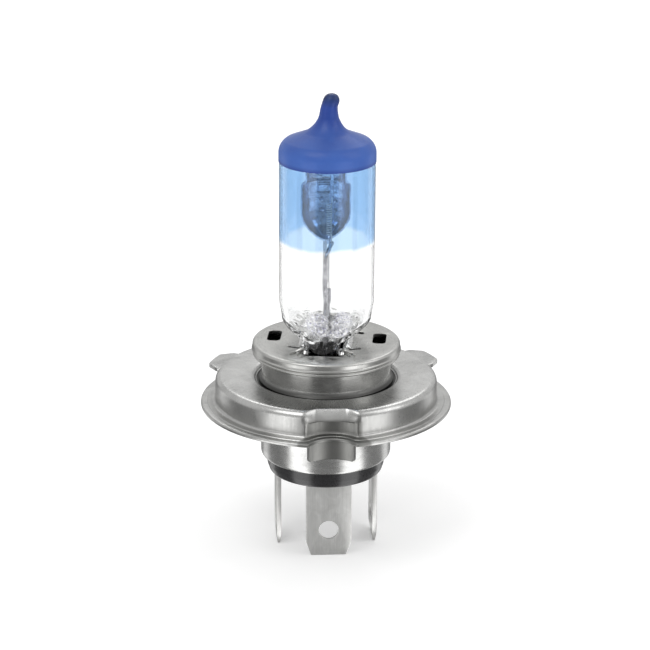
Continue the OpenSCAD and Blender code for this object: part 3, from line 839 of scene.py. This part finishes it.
def grip_tab(sx, sy, top):
    """Corner tab of the disc, rolled into a fat curl that leans on the pinch, with two thin burrs."""
    curl = spline([(5.0, 6.3, top - 0.35), (4.2, 6.15, top + 0.1), (3.45, 5.95, top + 0.35),
                   (3.15, 5.5, top - 0.05), (3.1, 5.2, top - 0.6)], 6)
    tab = tube("tab", [(sx * p[0], sy * p[1], p[2]) for p in curl], 0.42, 14)
    for out, long in ((0.0, 0.0), (0.9, -0.5)):
        burr = spline([(3.5 + out, 6.2, top - 0.1), (4.2 + out, 7.3, top + 0.22),
                       (4.9 + out, 8.1 + long, top - 0.1)], 6)
        join(tab, tube("burr", [(sx * p[0], sy * p[1], p[2]) for p in burr], 0.11, 8))
    return tab


def strip(name, path, y0, y1, thickness):
    """A bent strip of sheet: a path in XZ given its thickness, drawn from y0 to y1."""
    points = [Vector(p[:2]) for p in path]
    outer = []
    for i, p in enumerate(points):
        t = (points[min(i + 1, len(points) - 1)] - points[max(i - 1, 0)]).normalized()
        outer.append(p + thickness * Vector((-t.y, t.x)))
    outline = points + outer[::-1]
    verts = [(x, y, z) for y in (y0, y1) for x, z in outline]
    return mesh_object(name, verts, prism_faces(len(outline)))


def pinch_clip(side, material):
    """Spring clip along the flat of the pinch: it rolls over the slot's edge and has a window."""
    top = DISC_HIGH.z
    path = [(PINCH_X + 0.05, -3.4), (PINCH_X + 0.05, 1.5), (PINCH_X + 0.05, 4.2)]
    path += [(2.8, 5.0), (3.05, 5.7), (3.45, 6.2), (3.95, 6.3), (4.5, top + 0.02)]
    obj = strip("clip", spline([(x, z, 0) for x, z in path], 5), -4.0, 4.0, -0.34)
    cut(obj, prism_along_x(1.0, 1.4, 3.0))
    for sy in BOTH:
        fuse(obj, tube("horn", spline([(2.95, sy * 3.8, 4.2), (3.0, sy * 4.6, 5.2), (3.05, sy * 5.3, 5.9),
                                       (3.05, sy * 5.9, 6.0), (3.1, sy * 6.4, 5.5)], 6), 0.6, 16))
    if side < 0:
        turn(obj, spin(180, "Z"))
    turn(obj, spin(-math.degrees(SEAL_TURN), "Z"))
    round_edges(obj, 0.07, 2)
    name = "left" if side < 0 else "right"
    obj.name = "pinch_spring_" + name
    return make_piece(obj, material, ["pinch_clip_" + name], sharp=50)


def prism_along_x(half_y, z0, z1):
    """A block through the clip, for its window."""
    obj = prism("window", rounded_box(0, 0, 2 * half_y, z1 - z0, 0.4), -6, 6)
    turn(obj, shift(0, 0, (z0 + z1) / 2) @ spin(90, "Y") @ spin(90, "Z"))
    return obj


def holder_cup(material):
    """Neck: a drawn cup, rolled outwards at its foot and under the disc."""
    r, t = NECK_R, THIN
    low, top = CUP_LOW.z, CUP_HIGH.z
    profile = [(r - t, low), (r + 0.28, low)]
    profile += arc((r + 0.2, low + 0.32), 0.3, -60, 60, 5)
    profile += [(r + 0.1, low + 0.85), (r, low + 1.5), (r - 0.03, lerp(low, top, 0.55)), (r, top - 1.7)]
    profile += arc((r + 0.5, top - t - 0.5), 0.5, 180, 90, 6)
    profile += [(DISC_R - 0.62, top - t), (DISC_R - 0.62, top - 0.01)]
    profile += arc((r + 0.5, top - 1.1), 1.09, 90, 180, 6)
    profile += [(r - t, top - 2.4), (r - t, 2.0), (r - t, low + 0.8)]
    return make_piece(lathe("neck_cup", profile, 192), material, ["holder_cup"])


# -------------------- cap ring


def key_angle(angle):
    """Angle from the key's middle, which faces -Y."""
    return abs((angle + KEY_TURN + math.pi / 2 + math.pi) % TAU - math.pi)


def scoop(phi, round_r, outer, blend):
    """Radius of a circle of radius outer, scooped by a circle about the key's centre."""
    inside = round_r ** 2 - (KEY_C * math.sin(phi)) ** 2
    if phi > math.pi / 4 or inside <= 0:
        return outer
    return soft_min(outer, KEY_C * math.cos(phi) - math.sqrt(inside), blend)


def ring_warp(r, z, angle):
    """Moves a point of the plain turned ring to follow the key's hollow and the leaning lip above it."""
    phi = key_angle(angle)
    wall = scoop(phi, KEY_ROUND, RING_R, 0.35)
    lip = 1 - smooth(2.6, 5.0, RING_R * math.sin(phi)) if phi < math.pi / 4 else 0.0
    front = lerp(LIP_TOP, LIP_FOOT, min(1.0, max(0.0, z / LIP_Z))) / math.cos(phi) if lip else RING_R
    target = lerp(lerp(RING_R, front, lip), wall, smooth(LIP_Z + 0.05, LIP_Z - 0.2, z))
    tight = 1 - 0.75 * lip
    if z < 0.01 - SHEET and r < RING_R - SHEET + 0.01:
        moved = r - smooth(BEND_R, 18.1, r) * (RING_R - target)
    elif r <= FACE_R:
        share = max(0.0, (r - BEND_R) / (FACE_R - BEND_R))
        moved = lerp(min(r, BEND_R), target - (RING_R - FACE_R) * tight, share)
    else:
        moved = target - (RING_R - r) * tight
    if r > RING_R + 0.01 and z < -3.0:
        edge = scoop(phi, KEY_ROUND - KEY_BRIM, FLANGE_R, 1.1)
        moved = lerp(wall, edge, (r - RING_R) / (FLANGE_R - RING_R))
    return (moved * math.cos(angle), max(moved * math.sin(angle), RING_LOW.y), z)


def ring_profile():
    """Section of the ring before its key: the plate, a rolled corner, the wall and a stepped flange."""
    foot = RING_LOW.z
    top_edge = foot + SHEET
    inner = [(12.0, -SHEET), (11.98, -0.62)] + arc((12.95, -0.9), 0.9, 160, 90, 6)
    face = line((13.2, 0), (FACE_R, 0), 10)
    roll = arc((RING_R - 1.15, -1.15), 1.15, 90, 0, 10)
    wall = line((RING_R, -1.3), (RING_R, top_edge + 0.5), 18)
    fillet = arc((RING_R + 0.5, top_edge + 0.5), 0.5, 180, 270, 6)
    brim = line((RING_R + 0.7, top_edge), (FLANGE_R - 1.25, top_edge), 3)
    step = [(FLANGE_R - 1.2, top_edge), (FLANGE_R - 1.1, top_edge - 0.1), (FLANGE_R - 0.5, top_edge - 0.1)]
    rim = arc((FLANGE_R - 0.3, foot + 0.36), 0.3, 80, 0, 5)
    rim += arc((FLANGE_R - 0.25, foot + 0.25), 0.25, 0, -90, 5)
    under = line((FLANGE_R - 0.5, foot), (RING_R - 0.4, foot), 5)
    under += arc((RING_R - SHEET + 0.5, foot + 0.5), 0.5, 270, 180, 5)
    back = line((RING_R - SHEET, foot + 0.8), (RING_R - SHEET, -1.6), 6)
    back += arc((RING_R - SHEET - 0.6, -SHEET - 0.6), 0.6, 0, 90, 5) + line((17.0, -SHEET), (12.4, -SHEET), 6)
    return inner + face + roll + wall + fillet + brim + step + rim + under + back


def lug_outline():
    """Locating lug: wide at the ring, narrower at its rounded tip."""
    tip, root, half_tip, half_root = 20.95, RING_R - 2.6, 2.5, 3.95
    a = math.degrees(math.asin((half_tip - 0.5) / (tip - 0.9)))
    corner = ((tip - 0.9) * math.cos(math.radians(a)), half_tip - 0.5)
    edge = arc((0, 0), tip, -a, a, 8)
    upper = arc(corner, 0.9, a, 62, 7)
    upper += [(RING_R + 0.12, half_root - 0.15), (RING_R - 0.25, half_root + 0.05)]
    lower = [(x, -y) for x, y in reversed(upper)]
    return [(root, -half_root)] + lower + edge[1:-1] + upper + [(root, half_root)]


def cap_ring(material):
    """Pressed ring with its key hollow and two lugs."""
    obj = lathe("cap_ring", ring_profile(), 720, ring_warp)
    for s in BOTH:
        lug = prism("lug", lug_outline(), -SHEET, -0.06)
        round_edges(lug, 0.12, 3)
        turn(lug, spin(-90 + s * LUG_ANGLE, "Z"))
        fuse(obj, lug)
    return make_piece(obj, material, ["base_ring"], sharp=32)


def key_tongue(material):
    """Tongue that carries the recess wall on below the flange."""
    half, top, foot = 4.1, TONGUE_HIGH.z + 0.2, TONGUE_LOW.z
    cols, rows = 25, 12
    verts = []
    for i in range(rows):
        z = lerp(top, foot, i / (rows - 1))
        w = half - 0.2 * smooth(foot + 0.4, foot, z)
        for j in range(cols):
            x = lerp(-w, w, j / (cols - 1))
            verts.append((x, -KEY_C + math.sqrt(KEY_ROUND ** 2 - x * x), z))
    obj = mesh_object("key_tongue_sheet", verts, grid_faces(rows, cols, closed_cols=False))
    thicken(obj, SHEET, 1.0)
    round_edges(obj, 0.15, 3, 50)
    turn(obj, spin(-math.degrees(KEY_TURN), "Z"))
    return make_piece(obj, material, ["key_tongue"])


# -------------------- connector end


def lower_shell(material):
    """Bright cup under the plate, drawn in round the insulator."""
    r, t, low = LOWER_R, THIN, SHELL_LOW.z
    flange = SHELL_HIGH.x
    profile = [(flange, -SHEET - 0.01), (flange, -SHEET - t)]
    profile += arc((r + 0.8, -SHEET - t - 0.8), 0.8, 90, 180, 8)
    profile += line((r, -3.2), (r, low + 1.0), 6)
    profile += arc((r - 0.85, low + 0.85), 0.85, 0, -90, 10)
    profile += [(PLUG_R + 0.12, low), (PLUG_R + 0.04, low + 0.1), (PLUG_R + 0.04, low + t)]
    profile += arc((r - 0.85, low + 0.85), 0.25, -90, 0, 4)
    profile += [(r - t, low + 1.4), (r - t, -4.0), (r - t, -SHEET - 0.01)]
    return make_piece(lathe("lower_cup", profile, 192), material, ["lower_shell"])


def insulator(material):
    """Moulded plug with a slot for each blade."""
    low, r = PLUG_LOW.z, PLUG_R
    profile = [(0, low + 1.9), (4.6, low + 1.9), (4.9, low + 1.6), (5.0, low + 0.25), (5.25, low)]
    profile += line((5.5, low), (8.6, low), 3)
    profile += arc((r - 1.0, low + 0.75), 0.75, -90, -5, 8)
    profile += [(r - 0.04, low + 1.25), (r, low + 1.45), (r, SHELL_LOW.z + 0.62)]
    profile += [(LOWER_R - 0.61, SHELL_LOW.z + 0.64), (LOWER_R - 0.61, PLUG_HIGH.z), (0, PLUG_HIGH.z)]
    obj = lathe("insulator_body", profile, 160)
    for a in (0, 90, -90):
        gap = rounded_box(0, -BLADE_OFF, BLADE_W + 0.12, BLADE_T + 0.12, 0.1, 2)
        slot = prism("slot", gap, low - 1, PLUG_HIGH.z + 1)
        turn(slot, spin(a, "Z"))
        cut(obj, slot)
    round_edges(obj, 0.07, 2)
    return make_piece(obj, material, ["insulator"])


def terminal(name, angle, node, material):
    """Flat blade with chamfered end, detent hole, rolled edges and an inward tab at the top."""
    low, top, half = BLADE_LOW.z, BLADE_HIGH.z, BLADE_W / 2
    waist = PLUG_LOW.z + 1.6
    right = [(half - 0.9, low), (half, low + 2.6), (half, waist), (2.5, waist), (2.5, top)]
    left = [(-x, z) for x, z in reversed(right)]
    obj = prism(name, left[-1:] + right + left[:-1], -BLADE_T, 0)
    cut(obj, prism("hole", arc((0, low + 4.7), 1.7, 0, 352.5, 47), -BLADE_T - 1, 1))
    turn(obj, spin(90, "X"))
    turn(obj, shift(0, -BLADE_OFF - BLADE_T / 2, 0))
    lead_in = 0.26
    for s in BOTH:
        wedge = prism("wedge", [(-6, -2), (6, -2), (6, 0), (-6, 0)], 0, 2.2)
        turn(wedge, shift(0, -BLADE_OFF + s * (BLADE_T / 2 - lead_in), low - 0.3) @ spin(-s * 9, "X")
             @ spin(180 if s > 0 else 0, "Z"))
        cut(obj, wedge)
    round_edges(obj, 0.1, 3)
    tab = prism("tab", rounded_box(0, 0, 3, 3.6, 0.2), top - BLADE_T, top)
    turn(tab, shift(0, -BLADE_OFF - BLADE_T / 2 + 1.8, 0))
    join(obj, tab)
    turn(obj, spin(angle, "Z"))
    return make_piece(obj, material, [node])


# -------------------- stage


CAMERA_PLACE = Vector((-26.55, -379.07, 141.49))
CAMERA_AZIMUTH = math.atan2(CAMERA_PLACE.y, CAMERA_PLACE.x)


def camera():
    """Camera at the photograph's angle: 19 degrees down and 4 degrees to the left of the key."""
    heading, pitch, roll = math.radians(3.97), math.radians(19.25), math.radians(0.34)
    look = Vector((math.sin(heading), math.cos(heading), 0.0))
    ahead = look * math.cos(pitch) - Vector((0, 0, math.sin(pitch)))
    right = Vector((look.y, -look.x, 0.0))
    up = right.cross(ahead)
    right, up = (right * math.cos(roll) + up * math.sin(roll), up * math.cos(roll) - right * math.sin(roll))
    data = bpy.data.cameras.new("camera")
    data.sensor_width = 36.0
    data.lens = 130.9
    data.clip_start = 0.01
    cam = bpy.data.objects.new("camera", data)
    cam.matrix_world = Matrix((right, up, -ahead)).transposed().to_4x4()
    cam.location = CAMERA_PLACE * MM
    bpy.context.scene.collection.objects.link(cam)
    bpy.context.scene.camera = cam


def area_light(name, place, target, size, power):
    """Soft lamp, in metres and watts, aimed at a point."""
    data = bpy.data.lights.new(name, "AREA")
    data.shape = "RECTANGLE"
    data.size, data.size_y = size
    data.energy = power
    lamp = bpy.data.objects.new(name, data)
    lamp.location = place
    lamp.rotation_euler = (Vector(target) - Vector(place)).to_track_quat("-Z", "Y").to_euler()
    bpy.context.scene.collection.objects.link(lamp)


def stage_mesh(name, corners, paint):
    """A flat sheet of the studio, which is not part of the bulb."""
    mesh = bpy.data.meshes.new(name)
    mesh.from_pydata(corners, [], [(0, 1, 2, 3)])
    mesh.materials.append(paint.material)
    obj = bpy.data.objects.new(name, mesh)
    obj.location.z = FLOOR_Z * MM - 0.00002
    bpy.context.scene.collection.objects.link(obj)
    return obj


def matte(name, grey, **sockets):
    """Plain paint of the studio."""
    return Paint(name, base_color=(grey, grey, grey, 1), roughness=0.85, specular_ior_level=0.1, **sockets)


def reflected_only(obj):
    """Turns a sheet to the camera's heading and shows it only in reflections."""
    obj.rotation_euler.z = CAMERA_AZIMUTH
    for seen_by in ("camera", "diffuse", "shadow", "transmission"):
        setattr(obj, "visible_" + seen_by, False)


# Corners of the floor and the tent, in metres
FLOOR_HALF = 3.0
FLOOR = [(x * FLOOR_HALF, y * FLOOR_HALF, 0) for x, y in ((-1, -1), (1, -1), (1, 1), (-1, 1))]

# Softboxes round the bulb: middle and half width in degrees from the camera, and radiance.
# The one behind the bulb is half width and radiance. TENT_SHADE is the grey between them.
SOFTBOXES = [(-121, 7, 1.1), (-43, 13, 2.0), (44, 14, 2.0), (121, 7, 1.1)]
BACK_BOX = (16, 1.5)
TENT_SHADE = 0.27


def tent():
    """What polished metal and glass see instead of the floor: a grey table with bright softboxes round it."""
    edge = 7
    stops = [(-180, BACK_BOX[1]), (-180 + BACK_BOX[0], TENT_SHADE)]
    for middle, half, radiance in SOFTBOXES:
        stops += [(middle - half - edge, TENT_SHADE), (middle - half, radiance),
                  (middle + half, radiance), (middle + half + edge, TENT_SHADE)]
    stops += [(180 - BACK_BOX[0], TENT_SHADE), (180, BACK_BOX[1])]
    p = matte("tent", 0, emission_strength=1.0)
    x, y, _ = p.xyz()
    turns = p.span(p.math("ARCTAN2", y, x), -math.pi, math.pi)
    p.set("Emission Color", p.ramp(turns, [((a + 180) / 360, (light,) * 3) for a, light in stops]))
    reflected_only(stage_mesh("tent", FLOOR, p))


def black_flag():
    """Dark cloth on the camera's side, seen only in reflections."""
    away, half, low, top = 0.6, 0.3, 0.12, 0.30
    corners = [(away, -half, low), (away, half, low), (away, half, top), (away, -half, top)]
    reflected_only(stage_mesh("flag", corners, matte("flag", 0.1)))


def stage():
    """Plain pale floor, soft light and a pale room."""
    glow = {"emission_color": (1, 1, 1, 1), "emission_strength": 0.2}
    stage_mesh("floor", FLOOR, matte("floor", 0.94, **glow)).visible_glossy = False
    tent()
    black_flag()
    world = bpy.data.worlds.new("room")
    world.use_nodes = True
    back = world.node_tree.nodes["Background"]
    back.inputs["Color"].default_value = (1, 1, 1, 1)
    back.inputs["Strength"].default_value = 0.72
    bpy.context.scene.world = world
    area_light("key_light", (-0.35, -0.35, 0.75), (0, 0, 0), (0.5, 0.5), 1.9)
    area_light("fill_light", (0.5, -0.2, 0.45), (0, 0, 0.01), (0.35, 0.5), 0.8)
    area_light("back_light", (0.1, 0.6, 0.6), (0, 0, 0.01), (0.7, 0.3), 1.2)
    bpy.context.scene.view_settings.view_transform = "Standard"


# -------------------- build


def build():
    """Sets the stage, then makes every piece from the tip of the glass down to the blades."""
    camera()
    stage()
    steel_ring = plated_steel("ring_steel", (0.54, 0.54, 0.53), (3.0, 0.3, 0.25), 0.003, (0.22, 0.34), 0.25,
                              key_painted_shade_and_dull_wall)
    steel_disc = plated_steel("disc_steel", (0.49, 0.49, 0.475), (0.25, 3.0, 0.4), 0.004, (0.24, 0.36), 0.2)
    # The neck's plated steel is much darker than the ring's, disc's and shell's: painted shade under the
    # disc.
    steel_neck_painted_shade = plated_steel("neck_steel_painted_shade", (0.33, 0.33, 0.32), (0.3, 0.3, 3.0), 0.005, (0.16, 0.28), 0.25,
                              foot_painted_shadow)
    steel_shell = plated_steel("shell_steel", (0.62, 0.62, 0.61), (0.3, 0.3, 2.0), 0.005, (0.2, 0.32), 0.25,
                               groove_painted_shadow)
    # The shield and foils take the blue-tinted default tones: painted blue light.
    blue_lit_moly = molybdenum()
    wire = molybdenum("molybdenum_wire", (0.22, 0.22, 0.24), (0.46, 0.46, 0.48))
    filament = tungsten()
    spring = spring_metal()
    tin = tinned()
    glass_tube(quartz())
    tip_coat(tip_paint())
    filter_film(filter_paint())
    coil("dip_coil", (0.3, -0.9), 25.1, 5.6, 14, 0.42, 0.2, filament, "dip_filament")
    coil("main_coil", (0.0, 1.0), 16.3, 5.6, 14, 0.45, 0.2, filament, "main_filament")
    shield_cup(blue_lit_moly)
    inner_leads(wire)
    retainer(steel_disc)
    pinch_clip(-1, spring)
    pinch_clip(1, spring)
    holder_cup(steel_neck_painted_shade)
    cap_ring(steel_ring)
    key_tongue(steel_ring)
    lower_shell(steel_shell)
    insulator(black_plastic())
    for side, angle in (("dip", 0), ("main", -90), ("earth", 90)):
        terminal("blade_" + side, angle, "terminal_" + side, tin)
    for circuit in ("common", "dip", "main"):
        repaint("foil_" + circuit, blue_lit_moly)
        repaint("outer_lead_" + circuit, wire)


def repaint(node, material):
    """Gives a CAD node that stays as it is a finished material."""
    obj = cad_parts[node]
    if not obj.material_slots:
        obj.data.materials.append(material)
    for slot in obj.material_slots:
        slot.material = material


build()
